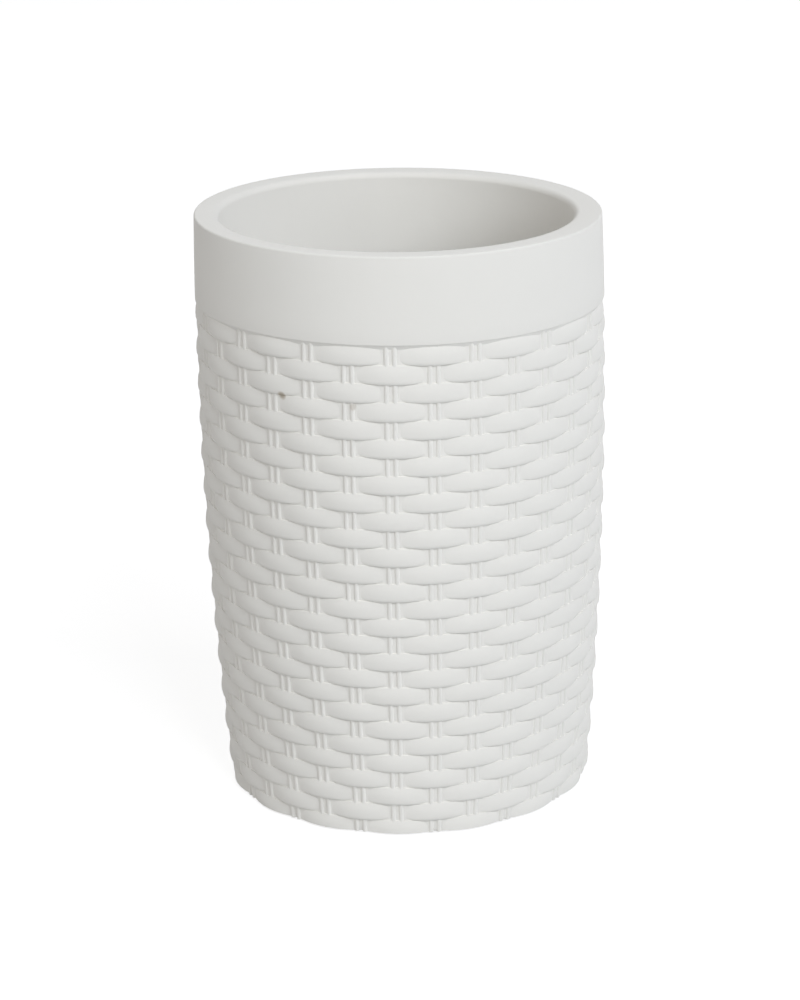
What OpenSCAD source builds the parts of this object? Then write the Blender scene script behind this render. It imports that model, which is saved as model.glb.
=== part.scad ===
// Bathroom tumbler: a cast cup with a moulded basket weave under a plain rim band.
// Lengths are millimetres. The origin is the middle of the base pad's underside,
// +Z points up to the rim, and the side at -Y is the front.

/* [Cup] */
// Height from the counter to the top of the rim
cup_h = 109.7; // [100:0.1:125]
// Diameter over the crowns of the weave, where the side is widest
belly_d = 76.2; // [71:0.1:84]
// Height of the widest place above the counter
belly_z = 77.6; // [60:0.1:92]
// Radius of the outward bow of the side, seen from the front
side_bow_r = 890; // [600:5:1400]
// Thickness of the wall, from the inside to the crowns of the weave
wall_t = 5; // [3.6:0.1:6.4]
// Thickness of the floor above the base recess
floor_t = 5; // [3:0.1:9]
// Radius between the floor and the inside of the wall
floor_fillet_r = 6; // [2:0.5:12]

/* [Rim band] */
// Height of the plain band at the rim
band_h = 15.7; // [9:0.1:24]
// How far the band's face lies inside the crowns of the weave
band_set_in = 0.2; // [0.05:0.05:0.6]
// Radius of the lip's outer edge, which is left nearly crisp
lip_outer_r = 0.6; // [0.3:0.1:1.6]
// Radius of the lip's inner edge
lip_inner_r = 1.2; // [0.3:0.1:1.6]

/* [Weave] */
// Number of stake pairs round the cup, always even
stake_pairs = 32; // [26:2:36]
// Height of one row of the weave
row_pitch = 3.36; // [2.9:0.02:4]
// Depth of the weave, from its crowns to the wall that it stands on
relief_t = 1; // [0.8:0.05:1.6]
// Groove between the rim band and the first row
band_groove = 0.3; // [0.1:0.05:0.8]
// Turn of the stake pair nearest to the front, in degrees
front_turn = -2.9; // [-11:0.1:11]

/* [Stakes] */
// Diameter of one stake
stake_d = 0.95; // [0.6:0.05:1.2]
// Distance between the middles of the two stakes of a pair
stake_spacing = 1.45; // [1.25:0.05:2]
// How far the crest of a stake stands off the wall
stake_lift = 0.55; // [0.4:0.05:0.8]

/* [Weavers] */
// Gap between a float of the weaver and the row beside it
row_gap = 0.12; // [0.04:0.02:0.5]
// How far the ends of a float stand off the wall
float_end_lift = 0.2; // [0.1:0.05:0.6]
// Gap between the end of a float and the stakes beside it
float_end_gap = 0.15; // [0.1:0.05:0.6]

/* [Base pad] */
// Width of the foot's ring, from the recess of the pad to the wall behind the weave
foot_ring_w = 5.4; // [2.5:0.1:14]
// Thickness of the foam pad
pad_t = 2; // [1:0.1:3]
// Thickness of the adhesive film above the pad
film_t = 0.2; // [0.1:0.05:0.4]
// How far the pad stands down out of its recess
pad_proud = 0.5; // [0.3:0.1:0.9]
// Gap between the pad's edge and the wall of its recess
pad_clearance = 0.4; // [0.1:0.1:1]

/* [Hidden] */

// Fineness of round shapes, and of the cup's own wide circles under the weave
$fn = 96;
bed_fn = 720;
// Straight courses that follow the bow of the side, and steps in the floor's fillet
side_courses = 8;
fillet_steps = 8;

belly_r = belly_d / 2;
band_z = cup_h - band_h;
lip_outer_z = cup_h - lip_outer_r;
lip_inner_z = cup_h - lip_inner_r;
foot_z = pad_proud;
recess_z = pad_t + film_t;
floor_z = recess_z + floor_t;
fillet_z = floor_z + floor_fillet_r;

column_angle = 360 / stake_pairs;
first_column_angle = front_turn - 90;
weave_top_z = band_z - band_groove;
row_count = ceil((weave_top_z - foot_z - row_gap) / row_pitch);
pair_half_w = (stake_spacing + stake_d) / 2;
recess_r = bed_r(row_count - 1) - foot_ring_w;
pad_r = recess_r - pad_clearance;

cast_white = "#E9E8E4";
foam_white = "#DCDBD6";
film_clear = "#C9C6B8";

// Radius of the side at height z, set in by depth from the crowns of the weave
function side_r(z, depth) =
  belly_r - side_bow_r + sqrt(pow(side_bow_r - depth, 2) - pow(z - belly_z, 2));

// Outline points of the side from one height to another
function side_points(z_from, z_to, depth) = [
  for (step = [0 : side_courses])
    let (z = z_from + (z_to - z_from) * step / side_courses)
      [side_r(z, depth), z]
];

// Outline points of the fillet, from the wall down to the floor
function fillet_points() = [
  for (step = [1 : fillet_steps])
    let (turn = -90 * step / fillet_steps)
      [
        side_r(fillet_z, wall_t) + floor_fillet_r * (cos(turn) - 1),
        fillet_z + floor_fillet_r * sin(turn)
      ]
];

// Heights of a row of the weave. Row 0 lies under the band, and the foot trims the last.
function row_top(row) = weave_top_z - row * row_pitch;
function row_middle(row) = row_top(row) - row_pitch / 2;

// Heights of the course of wall behind a row. The first runs up to the band.
function course_top(row) = row == 0 ? band_z : row_top(row);
function course_foot(row) = row == row_count - 1 ? foot_z : row_top(row + 1);

// Radius of the wall behind a row, which is upright there and steps to the next row
function bed_r(row) = side_r(row_middle(row), relief_t);

// Outline points of the stepped wall behind the weave, from the foot up to the band
function bed_points() = [
  for (row = [row_count - 1 : -1 : 0])
    each [[bed_r(row), course_foot(row)], [bed_r(row), course_top(row)]]
];

// The wall and floor of the cup up to the band. The weave stands on its outside.
module cup_body() {
  color(cast_white)
    rotate_extrude($fn = bed_fn)
      polygon(concat(
        [[0, recess_z], [recess_r, recess_z], [recess_r, foot_z]],
        bed_points(),
        side_points(band_z, fillet_z, wall_t),
        fillet_points(),
        [[0, floor_z]]
      ));
}

// The plain ring above the weave, with a flat lip between two rounded edges.
module rim_band() {
  color(cast_white)
    rotate_extrude()
      band_section();
}

// The cut face of the band. The polygon cuts both corners of the lip off straight, and
// a circle in each corner rounds it.
module band_section() {
  outer_r = side_r(lip_outer_z, band_set_in) - lip_outer_r;
  inner_r = side_r(lip_inner_z, wall_t) + lip_inner_r;
  polygon(concat(
    side_points(band_z, lip_outer_z, band_set_in),
    [[outer_r, cup_h], [inner_r, cup_h]],
    side_points(lip_inner_z, band_z, wall_t)
  ));
  translate([outer_r, lip_outer_z])
    circle(r = lip_outer_r);
  translate([inner_r, lip_inner_z])
    circle(r = lip_inner_r);
}

// Seen from above: a pair of rods that stand side by side on the wall.
module stake_pair_plan(row) {
  for (side = [-1, 1])
    difference() {
      translate([bed_r(row) + stake_lift - stake_d / 2, side * stake_spacing / 2])
        circle(d = stake_d);
      circle(r = bed_r(row), $fn = bed_fn);
    }
}

// Seen from above: one float, the stretch of a weaver that shows where it crosses a
// pair of stakes. It bows out, so that its ends dip towards the stakes beside it.
module float_plan(row) {
  crown_r = bed_r(row) + relief_t;
  half_l = crown_r * sin(column_angle) - pair_half_w - float_end_gap;
  dip = relief_t - float_end_lift + pow(half_l, 2) / (2 * bed_r(row));
  bow_r = (pow(half_l, 2) + pow(dip, 2)) / (2 * dip);
  difference() {
    intersection() {
      translate([crown_r - bow_r, 0])
        circle(r = bow_r);
      translate([crown_r - bow_r, -half_l])
        square([bow_r, 2 * half_l]);
    }
    circle(r = bed_r(row), $fn = bed_fn);
  }
}

// Repeats a plan round every second column of a row, from the given first column.
module every_second_column(first) {
  for (column = [first : 2 : stake_pairs - 1])
    rotate(first_column_angle + column * column_angle)
      children();
}

// The stakes show where no float crosses them. Those of the top row run to the band.
module stakes() {
  color(cast_white)
    for (row = [0 : row_count - 1])
      translate([0, 0, course_foot(row)])
        linear_extrude(course_top(row) - course_foot(row))
          every_second_column(row % 2)
            stake_pair_plan(row);
}

// Every second row of floats. first is 0 for the row under the band and 1 for the next.
module weaver_rows(first) {
  for (row = [first : 2 : row_count - 1])
    let (
      head_z = row_top(row) - row_gap / 2,
      heel_z = max(foot_z, row_top(row + 1) + row_gap / 2)
    )
      translate([0, 0, heel_z])
        linear_extrude(head_z - heel_z)
          every_second_column(1 - first)
            float_plan(row);
}

module weavers_odd_rows() {
  color(cast_white)
    weaver_rows(0);
}

module weavers_even_rows() {
  color(cast_white)
    weaver_rows(1);
}

// The double-sided film that holds the pad in the recess.
module pad_adhesive() {
  color(film_clear)
    translate([0, 0, pad_t])
      cylinder(h = film_t, r = pad_r);
}

// The foam disc that the tumbler stands on.
module base_pad() {
  color(foam_white)
    cylinder(h = pad_t, r = pad_r);
}

cup_body();
rim_band();
stakes();
weavers_odd_rows();
weavers_even_rows();
pad_adhesive();
base_pad();
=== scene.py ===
# %% [markdown]
# # A cast resin tumbler with a moulded basket weave
#
# This tumbler stands beside a wash basin. It is poured in one mould: a thick cup with a plain
# band at the rim, and the relief of a woven basket on the rest of its side. A foam pad under it
# keeps it from sliding. The notebook dresses a construction model of it, which is loaded first
# and never moved. Everything is in metres, +Z is up, and the camera stands on the -Y side.

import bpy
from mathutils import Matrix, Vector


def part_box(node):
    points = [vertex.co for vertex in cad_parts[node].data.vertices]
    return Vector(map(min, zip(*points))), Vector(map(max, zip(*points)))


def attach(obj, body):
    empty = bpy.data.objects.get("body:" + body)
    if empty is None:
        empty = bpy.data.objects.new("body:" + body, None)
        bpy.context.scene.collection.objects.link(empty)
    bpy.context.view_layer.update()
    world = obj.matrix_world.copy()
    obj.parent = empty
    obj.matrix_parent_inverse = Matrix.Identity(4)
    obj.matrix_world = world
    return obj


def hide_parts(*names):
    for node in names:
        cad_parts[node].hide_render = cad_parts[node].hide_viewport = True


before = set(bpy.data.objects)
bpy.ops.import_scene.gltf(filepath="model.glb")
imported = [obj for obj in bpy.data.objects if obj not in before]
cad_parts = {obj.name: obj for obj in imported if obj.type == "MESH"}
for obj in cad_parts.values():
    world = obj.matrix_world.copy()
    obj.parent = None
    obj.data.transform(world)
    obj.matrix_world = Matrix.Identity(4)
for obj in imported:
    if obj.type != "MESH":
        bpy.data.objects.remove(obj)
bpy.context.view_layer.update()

# %% [markdown]
# ## Measures
#
# The places where pieces meet are read from the construction model's own boxes. What a box
# can't say, such as the outward bow of the side or the depth of the relief, is named here as a
# real size. The widest place of the side is its belly. The side is a slice of a very large
# circle, so one formula gives its radius at any height, and the same formula set in by a depth
# gives the wall behind the weave or the inside.
#
# The mould was taken from a cup that was woven by hand, and it isn't quite true. Its rows climb
# a little towards the left, where the rim ends half a millimetre higher than in the middle.

# %% Measures of the casting
import math
import random

import bmesh
import bpy
from mathutils import Matrix, Vector, noise

MM = 0.001

BELLY_R = 38.1 * MM
BELLY_Z = 77.6 * MM
SIDE_BOW_R = 890 * MM
WALL_T = 5.0 * MM
RELIEF = 1.0 * MM
BED_DEPTH = 0.8 * MM

FOOT_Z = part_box("cup_body")[0].z
BAND_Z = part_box("rim_band")[0].z
RIM_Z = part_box("rim_band")[1].z
RECESS_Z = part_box("pad_adhesive")[1].z


def side_radius(z, depth=0.0):
    """Radius of the side at height z, set in by depth from the crowns of the weave."""
    bow = (SIDE_BOW_R - depth) ** 2 - (z - BELLY_Z) ** 2
    return BELLY_R - SIDE_BOW_R + math.sqrt(bow)


RIM_CLIMB = 0.5 * MM


def climb(place):
    """How far a place on the casting lies above its true height."""
    return -RIM_CLIMB * place.x / BELLY_R * place.z / RIM_Z


print("rim radius %.1f mm" % (side_radius(RIM_Z) / MM))
print("foot radius %.1f mm" % (side_radius(FOOT_Z) / MM))

# %% [markdown]
# ## Small helpers for materials
#
# Colours are given as sRGB hex values, but a shader works in linear light, so one
# function turns them. Another adds a node, sets its sockets and links it in one go, which keeps
# each material below as short as a recipe.

# %% Colour and node helpers
def linear(hex_colour):
    """Linear RGBA of an sRGB hex colour, by the formula of the sRGB standard."""
    channels = []
    for start in (1, 3, 5):
        c = int(hex_colour[start:start + 2], 16) / 255
        channels.append(c / 12.92 if c <= 0.04045 else ((c + 0.055) / 1.055) ** 2.4)
    return (*channels, 1.0)


def add_node(tree, kind, values=None, links=None, **settings):
    """Adds a node with its settings, its socket values and the sockets that feed it."""
    node = tree.nodes.new(kind)
    for name, setting in settings.items():
        setattr(node, name, setting)
    for socket, value in (values or {}).items():
        node.inputs[socket].default_value = value
    for socket, source in (links or {}).items():
        tree.links.new(source, node.inputs[socket])
    return node


def new_material(name, colour, roughness, ior):
    """Makes a material with these values on its shader. Returns it, its tree and the shader."""
    material = bpy.data.materials.new(name)
    material.use_nodes = True
    shader = material.node_tree.nodes["Principled BSDF"]
    shader.inputs["Base Color"].default_value = linear(colour)
    shader.inputs["Roughness"].default_value = roughness
    shader.inputs["IOR"].default_value = ior
    return material, material.node_tree, shader


print("middle grey is %.3f in linear light" % linear("#808080")[0])

# %% [markdown]
# ## The pinholes
#
# Two air bubbles burst at the surface on the left of the front and left pinholes. The bare
# resin in the first is a greyish brown, and the paint nearly fills the second. Both are too
# shallow to need a hole in the mesh. Each is a soft spot of colour instead, which fades out with
# the distance from a point on the skin. The spot is partly the bare resin's own colour and partly
# painted shade, which stands in for the shade inside the pit.

# %% Mask for the pinholes
PINHOLES = [
    # degrees to the right of the front, height, radius, how bare it is and how much painted shade
    # it has
    (-34.2, 83.7 * MM, 0.95 * MM, 1.0),
    (-13.2, 82.9 * MM, 0.8 * MM, 0.45),
]
# Within this share of its radius a pinhole has its full bare colour and painted shade.
BARE_AND_SHADED_CORE_SHARE = 0.5


def pinhole_mask(tree, coords):
    """How far the colour turns to bare resin and painted pit shade: 0 outside the pinholes, and
    up to 1 inside them.
    """
    mask = None
    for turn_deg, height, radius, bare_and_shade_share in PINHOLES:
        turn = math.radians(turn_deg)
        skin_r = side_radius(height, RELIEF / 2)
        middle = (skin_r * math.sin(turn), -skin_r * math.cos(turn), height)
        reach = add_node(
            tree,
            "ShaderNodeVectorMath",
            {1: middle},
            {0: coords.outputs["Object"]},
            operation="DISTANCE",
        )
        spot = add_node(
            tree,
            "ShaderNodeMapRange",
            {
                "From Min": BARE_AND_SHADED_CORE_SHARE * radius,
                "From Max": radius,
                "To Min": bare_and_shade_share,
                "To Max": 0.0,
            },
            {"Value": reach.outputs["Value"]},
        ).outputs["Result"]
        if mask:
            spot = add_node(
                tree, "ShaderNodeMath", links={0: mask, 1: spot}, operation="MAXIMUM"
            ).outputs["Value"]
        mask = spot
    return mask


print("pinholes:", len(PINHOLES))

# %% [markdown]
# ## The casting's finish
#
# The body is polyester casting resin filled with stone powder, sprayed with a thin matt white
# paint. To the eye that is a dry, soft white: a flatting powder in the paint scatters most of
# its shine, so highlights are wide and weak, and its chalky surface looks flatter than a smooth
# one, which the shader's diffuse roughness gives. The paint is a touch greyer where it is thin.
# The mould gives it a faint orange-peel of about 1.5 mm. The powder's grain is finer than the
# camera sees, so it is drawn as coarse as it needs to show, at 0.2 mm. Both patterns read Object
# coordinates, so they run on unbroken from one moulded feature to the next.

# %% Matt white paint on filled casting resin
CLOUD_SIZE = 14 * MM
PEEL_SIZE = 1.5 * MM
PEEL_DEPTH = 0.02 * MM
POWDER_SIZE = 0.2 * MM
POWDER_DEPTH = 0.006 * MM
NOISE_ROUGHNESS = 0.55


def make_cast_resin():
    material, tree, shader = new_material(
        "matt_painted_cast_resin", "#EFEDE8", roughness=0.76, ior=1.5
    )
    shader.inputs["Specular IOR Level"].default_value = 0.3
    shader.inputs["Diffuse Roughness"].default_value = 0.5
    coords = add_node(tree, "ShaderNodeTexCoord")

    cloud = add_node(
        tree,
        "ShaderNodeTexNoise",
        {"Scale": 1 / CLOUD_SIZE, "Detail": 2.0, "Roughness": NOISE_ROUGHNESS},
        {"Vector": coords.outputs["Object"]},
    )
    tone = add_node(
        tree,
        "ShaderNodeMix",
        {"A": linear("#F0EEE9"), "B": linear("#EDEBE6")},
        {"Factor": cloud.outputs["Fac"]},
        data_type="RGBA",
    )
    mask = pinhole_mask(tree, coords)
    # The pinhole spots are partly the bare resin's colour and partly painted shade of the pits.
    pits_bare_and_shaded = add_node(
        tree,
        "ShaderNodeMix",
        {"B": linear("#C2B9AA")},
        {"Factor": mask, "A": tone.outputs["Result"]},
        data_type="RGBA",
    )
    tree.links.new(pits_bare_and_shaded.outputs["Result"], shader.inputs["Base Color"])

    peel = add_node(
        tree,
        "ShaderNodeTexNoise",
        {"Scale": 1 / PEEL_SIZE, "Detail": 1.0, "Roughness": NOISE_ROUGHNESS},
        {"Vector": coords.outputs["Object"]},
    )
    powder = add_node(
        tree,
        "ShaderNodeTexNoise",
        {"Scale": 1 / POWDER_SIZE, "Detail": 2.0, "Roughness": NOISE_ROUGHNESS},
        {"Vector": coords.outputs["Object"]},
    )
    dry = add_node(
        tree,
        "ShaderNodeMapRange",
        {"From Min": 0.3, "From Max": 0.7, "To Min": 0.7, "To Max": 0.82},
        {"Value": powder.outputs["Fac"]},
    )
    tree.links.new(dry.outputs["Result"], shader.inputs["Roughness"])
    peel_bump = add_node(
        tree,
        "ShaderNodeBump",
        {"Strength": 1.0, "Distance": PEEL_DEPTH},
        {"Height": peel.outputs["Fac"]},
    )
    powder_bump = add_node(
        tree,
        "ShaderNodeBump",
        {"Strength": 1.0, "Distance": POWDER_DEPTH},
        {"Height": powder.outputs["Fac"], "Normal": peel_bump.outputs["Normal"]},
    )
    tree.links.new(powder_bump.outputs["Normal"], shader.inputs["Normal"])
    return material


cast_resin = make_cast_resin()
print("made", cast_resin.name)

# %% [markdown]
# ## Drawing an outline and turning it
#
# A round casting is easiest to draw as a potter would: half of its cut face, turned round the
# upright axis. The outline is drawn with a pen that knows two strokes. A straight stroke extrudes
# the last point, and an arc spins it about a centre. The whole outline is then spun round Z. The
# full spin merges its first and last copy, and the doubles on the axis are merged after it.

# %% A pen for outlines
class Outline:
    """An outline in the XZ plane, drawn from point to point in a bmesh of its own."""

    def __init__(self, x, z):
        self.bm = bmesh.new()
        self.last = self.bm.verts.new((x, 0.0, z))

    def line(self, x, z):
        made = bmesh.ops.extrude_vert_indiv(self.bm, verts=[self.last])
        self.last = made["verts"][0]
        self.last.co = (x, 0.0, z)

    def arc(self, centre_x, centre_z, turn, steps):
        """Turns the last point about a centre, anticlockwise where turn is positive."""
        made = bmesh.ops.spin(
            self.bm,
            geom=[self.last],
            cent=(centre_x, 0.0, centre_z),
            axis=(0.0, -1.0, 0.0),
            angle=turn,
            steps=steps,
        )
        self.last = made["geom_last"][0]


# %% A lathe
LATHE_STEPS = 192
WELD = 0.001 * MM


def turn_on_lathe(outline):
    """Spins an outline all the way round Z and returns the closed bmesh."""
    bm = outline.bm
    bmesh.ops.spin(
        bm,
        geom=bm.verts[:] + bm.edges[:],
        cent=(0.0, 0.0, 0.0),
        axis=(0.0, 0.0, 1.0),
        angle=math.tau,
        steps=LATHE_STEPS,
        use_merge=True,
    )
    bmesh.ops.remove_doubles(bm, verts=bm.verts[:], dist=WELD)
    bmesh.ops.recalc_face_normals(bm, faces=bm.faces[:])
    return bm


print("the lathe turns in %d steps" % LATHE_STEPS)

# %% [markdown]
# ## From a bmesh to a piece
#
# Every piece of the casting is moved up or down by the climb of its rows first. It is shaded
# smooth, with its true corners marked sharp by angle, gets its material and rides on a body, and
# the parts of the construction model that it stands for are hidden. The casting has no moving
# parts, so all of it rides on the one body.

# %% Turning a bmesh into a finished piece
CORNER_ANGLE = math.radians(40)


def make_piece(name, bm, material, nodes, corner_angle=CORNER_ANGLE):
    """Finishes a bmesh as a piece that stands for the given nodes of the casting."""
    for vert in bm.verts:
        vert.co.z += climb(vert.co)
    for face in bm.faces:
        face.smooth = True
    for edge in bm.edges:
        edge.smooth = edge.calc_face_angle(0.0) < corner_angle
    mesh = bpy.data.meshes.new(name)
    bm.to_mesh(mesh)
    bm.free()
    mesh.materials.append(material)
    piece = bpy.data.objects.new(name, mesh)
    bpy.context.scene.collection.objects.link(piece)
    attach(piece, "root")
    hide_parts(*nodes)
    print("%s: %d faces" % (name, len(mesh.polygons)))


# %% [markdown]
# ## The wall and the floor
#
# Below the band the wall is about 4 mm thick behind the weave. Its foot is a ring round a
# shallow recess for the pad, with the edge eased so that the paint doesn't chip. Inside, the
# floor runs up into the wall in a wide fillet that a brush can clean. The outline starts on the
# axis, goes out under the foot, up the outside, over to the inside and back down to the axis.

# %% Draw the wall and floor
FLOOR_T = 5 * MM
FLOOR_FILLET_R = 6 * MM
FOOT_EASE_R = 0.4 * MM
PAD_CLEARANCE = 0.4 * MM
WALL_STEPS = 28
FILLET_STEPS = 10
EASE_STEPS = 4

BOW_X = BELLY_R - SIDE_BOW_R
floor_z = RECESS_Z + FLOOR_T
fillet_z = floor_z + FLOOR_FILLET_R
recess_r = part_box("base_pad")[1].x + PAD_CLEARANCE


def draw_bow(outline, depth, z_to, steps):
    """Follows the side's bow, set in by depth, from the last point to another height."""
    z_from = outline.last.co.z
    turn_from = math.asin((z_from - BELLY_Z) / (SIDE_BOW_R - depth))
    turn_to = math.asin((z_to - BELLY_Z) / (SIDE_BOW_R - depth))
    outline.arc(BOW_X, BELLY_Z, turn_to - turn_from, steps)


def draw_cup_wall():
    foot_r = side_radius(FOOT_Z, BED_DEPTH)
    eased_z = FOOT_Z + FOOT_EASE_R
    cut = Outline(0.0, RECESS_Z)
    cut.line(recess_r, RECESS_Z)
    cut.line(recess_r, FOOT_Z)
    cut.line(foot_r - FOOT_EASE_R, FOOT_Z)
    cut.arc(foot_r - FOOT_EASE_R, eased_z, math.pi / 2, EASE_STEPS)
    cut.last.co.x = side_radius(eased_z, BED_DEPTH)
    draw_bow(cut, BED_DEPTH, BAND_Z, WALL_STEPS)
    cut.line(side_radius(BAND_Z, WALL_T), BAND_Z)
    draw_bow(cut, WALL_T, fillet_z, WALL_STEPS)
    cut.arc(cut.last.co.x - FLOOR_FILLET_R, fillet_z, -math.pi / 2, FILLET_STEPS)
    cut.line(0.0, floor_z)
    return cut


print("the top of the cup's floor is %.1f mm up" % (floor_z / MM))

# %% [markdown]
# ## A core off the middle
#
# A loose core made the hollow of the cup. At the rim it sat 0.4 mm off the middle, towards the
# front and the left, which shows at the lip. The lathe only makes what is round, so the inside
# is moved after the turning, more and more from the floor to the rim. Its vertices are the ones
# above the floor whose radius is no larger than the inside's.

# %% Turn the wall and floor
CORE_SHIFT = Vector((-0.3, -0.3, 0.0)) * MM
CORE_MARGIN = 0.01 * MM


def shift_core(bm, wall_t):
    """Moves the inside of a turned piece, where its wall is wall_t thick, off the middle."""
    for vert in bm.verts:
        radius = math.hypot(vert.co.x, vert.co.y)
        if vert.co.z > floor_z and radius < side_radius(vert.co.z, wall_t) + CORE_MARGIN:
            vert.co += CORE_SHIFT * (vert.co.z - floor_z) / (RIM_Z - floor_z)
    return bm


make_piece(
    "cup_wall_and_floor",
    shift_core(turn_on_lathe(draw_cup_wall()), WALL_T),
    cast_resin,
    ["cup_body"],
)

# %% [markdown]
# ## The rim band
#
# The band is the one smooth zone of the side, so it catches a plain sweep of light. Its lip is
# flat on top with two soft edges. The inner one is rounder, because that is where a hand sands
# the casting after it leaves the mould. Under the band a sloping shoulder runs down to the wall
# behind the weave, and the stakes and the first row end in it. The outline ends where it began,
# so the two points of its seam are merged before it is turned.

# %% Turn the rim band
BAND_SET_IN = 0.2 * MM
LIP_OUTER_R = 0.4 * MM
LIP_INNER_R = 1.2 * MM
BAND_FOOT_R = 0.15 * MM
SHOULDER_H = 0.75 * MM
TUCK = 0.3 * MM
BAND_STEPS = 6
LIP_STEPS = 8
SEAM_GAP = 0.01 * MM


def draw_rim_band():
    foot_r = side_radius(BAND_Z, BAND_SET_IN)
    inner_r = side_radius(RIM_Z, WALL_T)
    bed_r = side_radius(BAND_Z - SHOULDER_H, BED_DEPTH)
    cut = Outline(side_radius(BAND_Z, WALL_T), BAND_Z)
    cut.line(bed_r - TUCK, BAND_Z - SHOULDER_H)
    cut.line(bed_r, BAND_Z - SHOULDER_H)
    cut.line(foot_r - BAND_FOOT_R, BAND_Z)
    cut.arc(foot_r - BAND_FOOT_R, BAND_Z + BAND_FOOT_R, math.pi / 2, EASE_STEPS)
    draw_bow(cut, BAND_SET_IN, RIM_Z - LIP_OUTER_R, BAND_STEPS)
    cut.arc(cut.last.co.x - LIP_OUTER_R, RIM_Z - LIP_OUTER_R, math.pi / 2, LIP_STEPS)
    cut.line(inner_r + LIP_INNER_R, RIM_Z)
    cut.arc(inner_r + LIP_INNER_R, RIM_Z - LIP_INNER_R, math.pi / 2, LIP_STEPS)
    cut.last.co.x = side_radius(RIM_Z - LIP_INNER_R, WALL_T)
    draw_bow(cut, WALL_T, BAND_Z, BAND_STEPS)
    bmesh.ops.remove_doubles(cut.bm, verts=cut.bm.verts[:], dist=SEAM_GAP)
    return cut


make_piece(
    "rim_band_with_lip",
    shift_core(turn_on_lathe(draw_rim_band()), WALL_T - LIP_INNER_R),
    cast_resin,
    ["rim_band"],
)

# %% [markdown]
# ## The stakes
#
# A basket is woven round upright stakes, here in pairs. Each is a round rod that leans with the
# wall, so a small circle is spun about the far centre of the side's bow. A rod runs from the
# foot to the band in one piece, because what lies inside the wall or a float doesn't show. One
# rod is made and copied, which is quicker than spinning 64 of them.

# %% Spin one stake
STAKE_PAIRS = 32
STAKE_D = 1.0 * MM
STAKE_SPACING = 1.45 * MM
STAKE_LIFT = 0.47 * MM
STAKE_SIDES = 10
STAKE_STEPS = 56

stake_bow_r = SIDE_BOW_R - (RELIEF - STAKE_LIFT + STAKE_D / 2)


def make_stake():
    """One closed rod in the XZ plane that leans and bows with the side of the cup."""
    foot_turn = math.asin((FOOT_Z - BELLY_Z) / stake_bow_r)
    head_turn = math.asin((BAND_Z + TUCK - BELLY_Z) / stake_bow_r)
    bm = bmesh.new()
    bmesh.ops.create_circle(bm, segments=STAKE_SIDES, radius=STAKE_D / 2)
    foot = (
        Matrix.Translation((BOW_X, 0.0, BELLY_Z))
        @ Matrix.Rotation(-foot_turn, 4, "Y")
        @ Matrix.Translation((stake_bow_r, 0.0, 0.0))
    )
    bmesh.ops.transform(bm, matrix=foot, verts=bm.verts[:])
    bmesh.ops.spin(
        bm,
        geom=bm.verts[:] + bm.edges[:],
        cent=(BOW_X, 0.0, BELLY_Z),
        axis=(0.0, -1.0, 0.0),
        angle=head_turn - foot_turn,
        steps=STAKE_STEPS,
    )
    ends = [edge for edge in bm.edges if edge.is_boundary]
    bmesh.ops.holes_fill(bm, edges=ends, sides=STAKE_SIDES)
    bmesh.ops.recalc_face_normals(bm, faces=bm.faces[:])
    mesh = bpy.data.meshes.new("one_stake")
    bm.to_mesh(mesh)
    bm.free()
    print("one stake has %d faces" % len(mesh.polygons))
    return mesh


one_stake = make_stake()

# %% [markdown]
# ## The places of the pairs
#
# The mould was taken from real weaving, so its pairs aren't quite even. They stand a little wider
# apart on the front, and they lean to the right by half a degree. One formula gives both. The
# floats use it too, so each of them crosses the middle of its pair.

# %% Place the pairs
FRONT_TURN = math.radians(-3.4)
COLUMN_TURN = math.tau / STAKE_PAIRS
COLUMN_SPREAD = math.radians(1.8)
COLUMN_LEAN_PER_M = math.radians(15)
LEAN_PIVOT_Z = 48 * MM


def column_angle(column, z):
    """Direction of a pair of stakes at height z, seen from above. The front is at -90 degrees."""
    turn = FRONT_TURN + column * COLUMN_TURN
    turn += COLUMN_SPREAD * math.sin(turn) + COLUMN_LEAN_PER_M * (z - LEAN_PIVOT_Z)
    return turn - math.pi / 2


print("%d pairs of stakes, one every %.2f degrees" % (STAKE_PAIRS, math.degrees(COLUMN_TURN)))

# %% [markdown]
# ## Rods that wander
#
# Cane is never quite straight, so every rod wanders sideways by less than a tenth of a
# millimetre. The wander is a smooth noise with waves about 5 mm long. In that noise the rods
# stand far apart, so no two of them wander alike.

# %% Stand the stakes in pairs
STAKE_WANDER = 0.09 * MM
WANDER_LENGTH = 5 * MM
NOISE_PER_PAIR = 7.3
NOISE_PER_ROD = 3.1


def add_copy(bm, mesh):
    """Adds a copy of a mesh to a bmesh and returns the vertices of the copy."""
    before = len(bm.verts)
    bm.from_mesh(mesh)
    bm.verts.ensure_lookup_table()
    return bm.verts[before:]


def weave_stakes():
    bm = bmesh.new()
    for column in range(STAKE_PAIRS):
        for side in (-1, 1):
            for vert in add_copy(bm, one_stake):
                seat = Vector(
                    (column * NOISE_PER_PAIR, side * NOISE_PER_ROD, vert.co.z / WANDER_LENGTH)
                )
                vert.co.y += side * STAKE_SPACING / 2 + STAKE_WANDER * noise.noise(seat)
                vert.co.rotate(Matrix.Rotation(column_angle(column, vert.co.z), 3, "Z"))
    return bm


make_piece("weave_stakes", weave_stakes(), cast_resin, ["stakes"])

# %% [markdown]
# ## One straight float
#
# A weaver is a flat strap that runs over one pair of stakes and behind the next. Only the
# stretches in front show, and basket makers call them floats. There are about 450 of them, so
# one float is made with a few dozen faces, and copied. It starts as a straight bar in unit
# sizes, with enough cuts to bend and a bevelled heel, which is the lower edge of its face.

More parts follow.
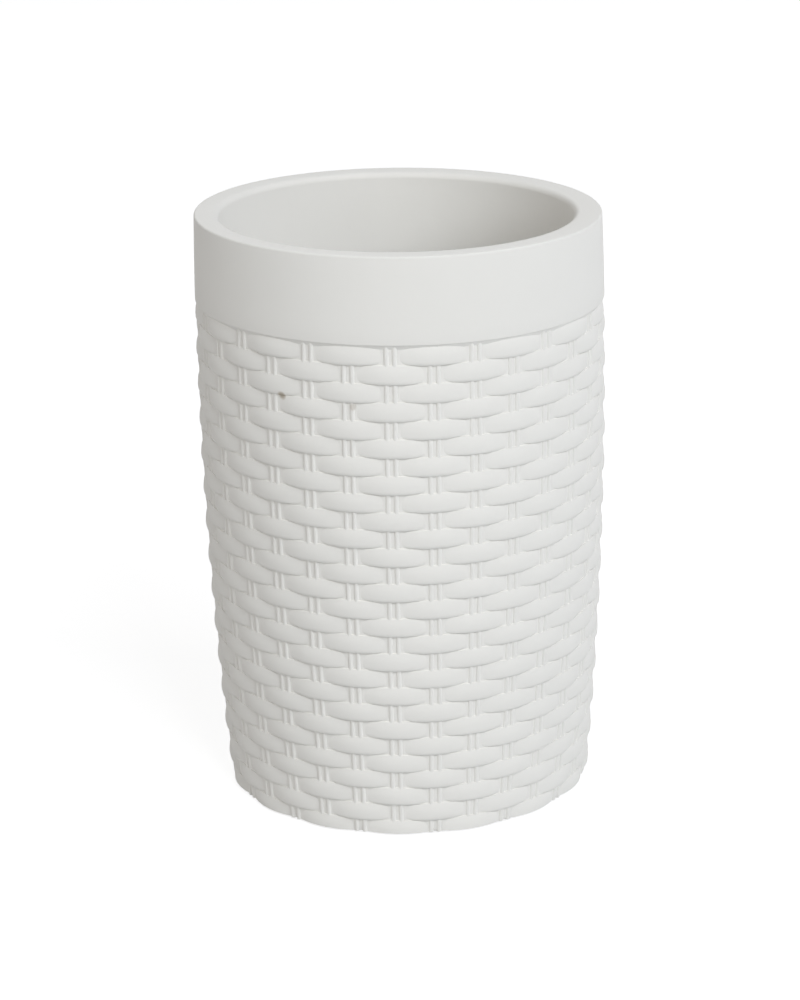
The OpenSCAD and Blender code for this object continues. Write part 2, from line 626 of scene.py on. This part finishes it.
# %% Make one straight float
FLOAT_SEGMENTS = 6
FLOAT_FACE_STRIPS = 5
FLOAT_BURY_SHARE = 0.25
HEEL_ROUND_SHARE = 0.3
HEEL_BEVEL_STEPS = 2
ROUND_PROFILE = 0.5
NEARLY = 0.9


def runs_along(edge, axis):
    """Whether an edge of the straight bar runs along an axis (0 = X, 1 = Y, 2 = Z)."""
    way = edge.verts[1].co - edge.verts[0].co
    return abs(way[axis]) > NEARLY * way.length


def at_front(edge):
    return all(vert.co.y > NEARLY for vert in edge.verts)


def at_heel(edge):
    return all(vert.co.z < -NEARLY for vert in edge.verts)


def make_straight_float():
    """A bar in unit sizes: X along it, Z up, and Y out from the wall, which is at Y = 0."""
    bm = bmesh.new()
    bmesh.ops.create_cube(bm, size=2.0)
    for vert in bm.verts:
        vert.co.y = 1.0 if vert.co.y > 0 else -FLOAT_BURY_SHARE
    long_edges = [e for e in bm.edges if runs_along(e, 0)]
    bmesh.ops.subdivide_edges(bm, edges=long_edges, cuts=FLOAT_SEGMENTS - 1, use_grid_fill=True)
    face_edges = [e for e in bm.edges if runs_along(e, 2) and at_front(e)]
    bmesh.ops.subdivide_edges(
        bm, edges=face_edges, cuts=FLOAT_FACE_STRIPS - 1, use_grid_fill=True
    )
    heel_edges = [e for e in bm.edges if runs_along(e, 0) and at_front(e) and at_heel(e)]
    bmesh.ops.bevel(
        bm,
        geom=heel_edges,
        offset=HEEL_ROUND_SHARE,
        offset_type="OFFSET",
        segments=HEEL_BEVEL_STEPS,
        profile=ROUND_PROFILE,
        affect="EDGES",
        material=-1,
    )
    bmesh.ops.recalc_face_normals(bm, faces=bm.faces[:])
    mesh = bpy.data.meshes.new("straight_float")
    bm.to_mesh(mesh)
    bm.free()
    print("one float has %d faces" % len(mesh.polygons))
    return mesh


straight_float = make_straight_float()

# %% [markdown]
# ## The shape of a float
#
# On the cup a float's face falls back towards the top, and a little towards the heel, like a
# cushion. Its middle rises over the stakes, its ends narrow and dip under the rods beside it,
# and it wraps round the cup. Each one is a little longer, higher or more tilted than the next,
# as in hand weaving. The two powers say how late the ends narrow and dive: the larger the
# power, the nearer to the end. Floats of neighbouring rows meet halfway between two pairs, where
# both have begun to narrow, so the height of a float's middle is worked back from there.

# %% Sizes of the floats
ROW_PITCH = 3.36 * MM
ROW_GAP = 0.02 * MM
BAND_GROOVE = 0.3 * MM
FLOAT_CROWN = 0.9 * MM
FLOAT_END_LIFT = 0.1 * MM
FLOAT_TUCK = 0.35 * MM
FLOAT_TAPER_SHARE = 0.34
FLOAT_TAPER_POWER = 2.8
FLOAT_RIDGE_SHARE = -0.2
TOP_CAMBER_SHARE = 0.6
HEEL_CAMBER_SHARE = 0.3
FLOAT_DIVE_POWER = 2.0
FLOAT_SHIFT = 0.05 * MM
FLOAT_TILT = math.radians(0.7)
FLOAT_STRETCH_SHARE = 0.015
FLOAT_LIFT_SPREAD = 0.06 * MM

weave_top_z = BAND_Z - BAND_GROOVE
row_count = math.ceil((weave_top_z - FOOT_Z) / ROW_PITCH)
column_w = side_radius(BELLY_Z) * COLUMN_TURN
float_half_l = column_w - (STAKE_SPACING + STAKE_D) / 2 + FLOAT_TUCK
meeting_share = column_w / 2 / float_half_l
narrowed_share = 1 - FLOAT_TAPER_SHARE * meeting_share ** FLOAT_TAPER_POWER
float_half_h = (ROW_PITCH - ROW_GAP) / 2 / narrowed_share
print("%d rows of floats" % row_count)
print("a float is %.1f x %.1f mm" % (2 * float_half_l / MM, 2 * float_half_h / MM))

# %% Bend a float round the cup
def camber(up):
    """Share of its rise that the face has lost at a height, from -1 (heel) to 1 (top)."""
    above = up - FLOAT_RIDGE_SHARE
    if above > 0:
        return TOP_CAMBER_SHARE * (above / (1 - FLOAT_RIDGE_SHARE)) ** 2
    return HEEL_CAMBER_SHARE * (above / (1 + FLOAT_RIDGE_SHARE)) ** 2


def bend_float(verts, row, column, luck):
    """Bends a straight float over its pair of stakes and wraps it round the cup."""
    middle_z = weave_top_z - (row + 0.5) * ROW_PITCH + luck.uniform(-1, 1) * FLOAT_SHIFT
    rise = math.tan(luck.uniform(-1, 1) * FLOAT_TILT)
    half_l = float_half_l * (1 + luck.uniform(-1, 1) * FLOAT_STRETCH_SHARE)
    half_l *= side_radius(middle_z) / side_radius(BELLY_Z)
    crown = FLOAT_CROWN - luck.random() * FLOAT_LIFT_SPREAD
    turn = column_angle(column, middle_z)
    for vert in verts:
        along, out, up = vert.co
        dive = abs(along) ** FLOAT_DIVE_POWER
        crest = FLOAT_END_LIFT + (crown - FLOAT_END_LIFT) * (1 - dive) * (1 - camber(up))
        lift = out * crest if out > 0 else out * RELIEF
        narrowed = 1 - FLOAT_TAPER_SHARE * abs(along) ** FLOAT_TAPER_POWER
        z = middle_z + up * float_half_h * narrowed + along * half_l * rise
        radius = side_radius(z, RELIEF) + lift
        angle = turn + along * half_l / side_radius(z)
        vert.co = (radius * math.cos(angle), radius * math.sin(angle), z)


# %% [markdown]
# ## The rows
#
# Rows are counted down from the band, and each crosses the pairs that the one above it left out.
# Every second row goes into one piece, as in the construction model. The luck of each float comes
# from a seeded generator, so every run of the notebook weaves the same basket. The first row ends
# in the shoulder under the band. The last one runs past the foot, so it is cut off there and the
# cut is closed.

# %% Weave the rows
WEAVE_SEED = 31
FLOAT_CORNER_ANGLE = math.radians(60)


def cut_off_below(bm, height):
    """Cuts everything below a height off, and closes the cut."""
    cut = bmesh.ops.bisect_plane(
        bm,
        geom=bm.verts[:] + bm.edges[:] + bm.faces[:],
        dist=WELD,
        plane_co=(0.0, 0.0, height),
        plane_no=(0.0, 0.0, -1.0),
        clear_outer=True,
    )
    rims = [e for e in cut["geom_cut"] if isinstance(e, bmesh.types.BMEdge)]
    bmesh.ops.holes_fill(bm, edges=rims, sides=0)


def weave_rows(first):
    """Every second row of floats. Row 0 lies under the band and crosses the odd columns."""
    bm = bmesh.new()
    luck = random.Random(WEAVE_SEED + first)
    for row in range(first, row_count, 2):
        for column in range(1 - first, STAKE_PAIRS, 2):
            bend_float(add_copy(bm, straight_float), row, column, luck)
    cut_off_below(bm, FOOT_Z)
    bmesh.ops.recalc_face_normals(bm, faces=bm.faces[:])
    return bm


make_piece(
    "weaver_floats_odd",
    weave_rows(0),
    cast_resin,
    ["weavers_odd_rows"],
    FLOAT_CORNER_ANGLE,
)
make_piece(
    "weaver_floats_even",
    weave_rows(1),
    cast_resin,
    ["weavers_even_rows"],
    FLOAT_CORNER_ANGLE,
)

# %% [markdown]
# ## The pad and its film
#
# The pad is die-cut from closed-cell EVA foam, so its cut edge is square and its skin is full of
# tiny dimples. It is stuck on with a clear double-sided film that has yellowed a little. Their
# shapes are right in the construction model, so only their materials change. The real dimples
# are finer than shows, and are drawn at 0.5 mm. The foam is painted darker in the hollows of the
# dimples, as painted shade.

# %% Foam and film
CELL_SIZE = 0.5 * MM
DIMPLE_DEPTH = 0.05 * MM
RIPPLE_SIZE = 3 * MM


def make_foam():
    material, tree, shader = new_material(
        "closed_cell_eva_foam", "#DAD9D3", roughness=0.92, ior=1.45
    )
    coords = add_node(tree, "ShaderNodeTexCoord")
    cells = add_node(
        tree,
        "ShaderNodeTexVoronoi",
        {"Scale": 1 / CELL_SIZE},
        {"Vector": coords.outputs["Object"]},
    )
    # Painted shade: the foam is darker at the cell centres, where the bump sinks the dimples.
    skin = add_node(
        tree,
        "ShaderNodeMix",
        {"A": linear("#C9C8C0"), "B": linear("#DEDDD7")},
        {"Factor": cells.outputs["Distance"]},
        data_type="RGBA",
    )
    dimples = add_node(
        tree,
        "ShaderNodeBump",
        {"Strength": 1.0, "Distance": DIMPLE_DEPTH},
        {"Height": cells.outputs["Distance"]},
    )
    tree.links.new(skin.outputs["Result"], shader.inputs["Base Color"])
    tree.links.new(dimples.outputs["Normal"], shader.inputs["Normal"])
    return material


def make_film():
    material, tree, shader = new_material(
        "acrylic_adhesive_film", "#C8C3AE", roughness=0.3, ior=1.47
    )
    coords = add_node(tree, "ShaderNodeTexCoord")
    ripple = add_node(
        tree,
        "ShaderNodeTexNoise",
        {"Scale": 1 / RIPPLE_SIZE, "Detail": 1.0, "Roughness": NOISE_ROUGHNESS},
        {"Vector": coords.outputs["Object"]},
    )
    yellowing = add_node(
        tree,
        "ShaderNodeMix",
        {"A": linear("#CDC8B5"), "B": linear("#BFB89E")},
        {"Factor": ripple.outputs["Fac"]},
        data_type="RGBA",
    )
    tree.links.new(yellowing.outputs["Result"], shader.inputs["Base Color"])
    return material


def dress(node, material):
    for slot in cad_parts[node].material_slots:
        slot.material = material
    print("%s is dressed in %s" % (node, material.name))


dress("base_pad", make_foam())
dress("pad_adhesive", make_film())

# %% [markdown]
# ## The floor
#
# The photograph has a bare white ground. The floor here is a wide disc of pale grey paper. To
# the camera, and in reflections, it glows, just enough to reach white in the open, while the
# tumbler's faint shadow still shows. The rays that light the tumbler find the plain matt paper.

# %% Paper for the floor
FLOOR_GLOW = 0.8
WHITE = (1.0, 1.0, 1.0, 1.0)


def seen_white(tree):
    """1 for the rays that show a backdrop, straight or in gloss or glass, and 0 for the rest."""
    path = add_node(tree, "ShaderNodeLightPath")
    gloss_or_glass = add_node(
        tree,
        "ShaderNodeMath",
        links={0: path.outputs["Is Glossy Ray"], 1: path.outputs["Is Transmission Ray"]},
        operation="MAXIMUM",
    )
    return add_node(
        tree,
        "ShaderNodeMath",
        links={0: path.outputs["Is Camera Ray"], 1: gloss_or_glass.outputs["Value"]},
        operation="MAXIMUM",
    ).outputs["Value"]


def make_floor_paper():
    material, tree, shader = new_material(
        "white_paper_floor", "#B4B4B4", roughness=0.9, ior=1.45
    )
    level = add_node(
        tree, "ShaderNodeMath", {1: FLOOR_GLOW}, {0: seen_white(tree)}, operation="MULTIPLY"
    )
    glow = add_node(
        tree, "ShaderNodeEmission", {"Color": WHITE}, {"Strength": level.outputs["Value"]}
    )
    lit = add_node(
        tree,
        "ShaderNodeAddShader",
        links={0: shader.outputs["BSDF"], 1: glow.outputs["Emission"]},
    )
    tree.links.new(lit.outputs["Shader"], tree.nodes["Material Output"].inputs["Surface"])
    return material


paper = make_floor_paper()
print("made", paper.name)

# %% Lay the floor
FLOOR_R = 3.0
FLOOR_SIDES = 64


def lay_floor():
    bm = bmesh.new()
    bmesh.ops.create_circle(bm, cap_ends=True, segments=FLOOR_SIDES, radius=FLOOR_R)
    mesh = bpy.data.meshes.new("paper_floor")
    bm.to_mesh(mesh)
    bm.free()
    mesh.materials.append(paper)
    floor = bpy.data.objects.new("paper_floor", mesh)
    bpy.context.scene.collection.objects.link(floor)
    print("the floor is %.0f m across" % (2 * FLOOR_R))


lay_floor()

# %% [markdown]
# ## The camera
#
# The camera's place was worked out from the photograph: the rim's ellipse, the bowed outline and
# the rows of the weave fit a lens of about 103 mm on a 36 mm frame, half a metre away, which
# looks down by 18 degrees and leans by a degree and a quarter. The picture's own middle in that
# fit lies a few pixels off, so the lens is shifted.

# %% Place the camera
PHOTO_W, PHOTO_H = 800, 1000
FOCAL_PX = 2859.5
CENTRE_PX = (403.95, 490.33)
CAMERA_FROM = 540.2 * MM
CAMERA_DOWN = math.radians(18.19)
CAMERA_LEAN = math.radians(-1.239)
LOOK_AT_Z = 55 * MM + FOOT_Z
NEAREST_SEEN = 10 * MM
SENSOR_W = 36.0


def place_camera():
    camera_data = bpy.data.cameras.new("photo_camera")
    camera_data.sensor_width = SENSOR_W
    camera_data.lens = FOCAL_PX / PHOTO_H * SENSOR_W
    camera_data.shift_x = -(CENTRE_PX[0] - PHOTO_W / 2) / PHOTO_H
    camera_data.shift_y = (CENTRE_PX[1] - PHOTO_H / 2) / PHOTO_H
    camera_data.clip_start = NEAREST_SEEN
    camera = bpy.data.objects.new("photo_camera", camera_data)
    eye = Vector((0.0, -math.cos(CAMERA_DOWN), math.sin(CAMERA_DOWN))) * CAMERA_FROM
    camera.matrix_world = (
        Matrix.Translation(eye + Vector((0.0, 0.0, LOOK_AT_Z)))
        @ Matrix.Rotation(math.pi / 2 - CAMERA_DOWN, 4, "X")
        @ Matrix.Rotation(CAMERA_LEAN, 4, "Z")
    )
    bpy.context.scene.collection.objects.link(camera)
    bpy.context.scene.camera = camera
    return camera


camera = place_camera()
print("lens %.1f mm" % camera.data.lens)

# %% [markdown]
# ## The light
#
# The photograph's light is soft and high-key. The tones across the plain band, the weave and the
# inside fit a wide, slightly cool softbox 30 degrees to the right of the camera and 30 degrees
# up, with a weaker one on either side.

# %% Hang the softboxes
SOFTBOX_DISTANCE = 1.6

SOFTBOXES = {
    # name: degrees to the right of the camera, degrees up, width in metres, watts, colour
    "softbox_key": (30, 30, 0.9, 14.4, (0.89, 0.94, 0.99)),
    "softbox_right": (60, 35, 0.5, 4.1, (0.97, 0.95, 1.0)),
    "softbox_left": (-50, 25, 1.3, 7.1, (1.0, 0.985, 0.97)),
}


def hang_softbox(name, turn_deg, up_deg, width, watts, colour):
    turn, up = math.radians(turn_deg), math.radians(up_deg)
    towards = Vector((
        math.sin(turn) * math.cos(up),
        -math.cos(turn) * math.cos(up),
        math.sin(up),
    ))
    lamp_data = bpy.data.lights.new(name, "AREA")
    lamp_data.shape = "SQUARE"
    lamp_data.size = width
    lamp_data.energy = watts
    lamp_data.color = colour
    lamp = bpy.data.objects.new(name, lamp_data)
    lamp.location = towards * SOFTBOX_DISTANCE + Vector((0.0, 0.0, RIM_Z / 2))
    lamp.rotation_euler = towards.to_track_quat("Z", "Y").to_euler()
    bpy.context.scene.collection.objects.link(lamp)
    print("%s gives %.1f W" % (name, watts))


for name, setting in SOFTBOXES.items():
    hang_softbox(name, *setting)

# %% [markdown]
# ## The room
#
# An even white room fills the shadows. It is brighter where it is seen than where it lights, so
# the backdrop is pure white and the side away from the lamps stays a little darker. The standard
# view transform keeps white at white.

# %% Paint the room
ROOM_LEVEL = 0.2


def paint_backdrop():
    world = bpy.data.worlds.new("studio")
    world.use_nodes = True
    tree = world.node_tree
    backdrop = tree.nodes["Background"]
    level = add_node(
        tree,
        "ShaderNodeMapRange",
        {"To Min": ROOM_LEVEL, "To Max": 1.0},
        {"Value": seen_white(tree)},
    )
    backdrop.inputs["Color"].default_value = WHITE
    tree.links.new(level.outputs["Result"], backdrop.inputs["Strength"])
    bpy.context.scene.world = world


paint_backdrop()
bpy.context.scene.view_settings.view_transform = "Standard"
print("the room lights at %.1f of white" % ROOM_LEVEL)
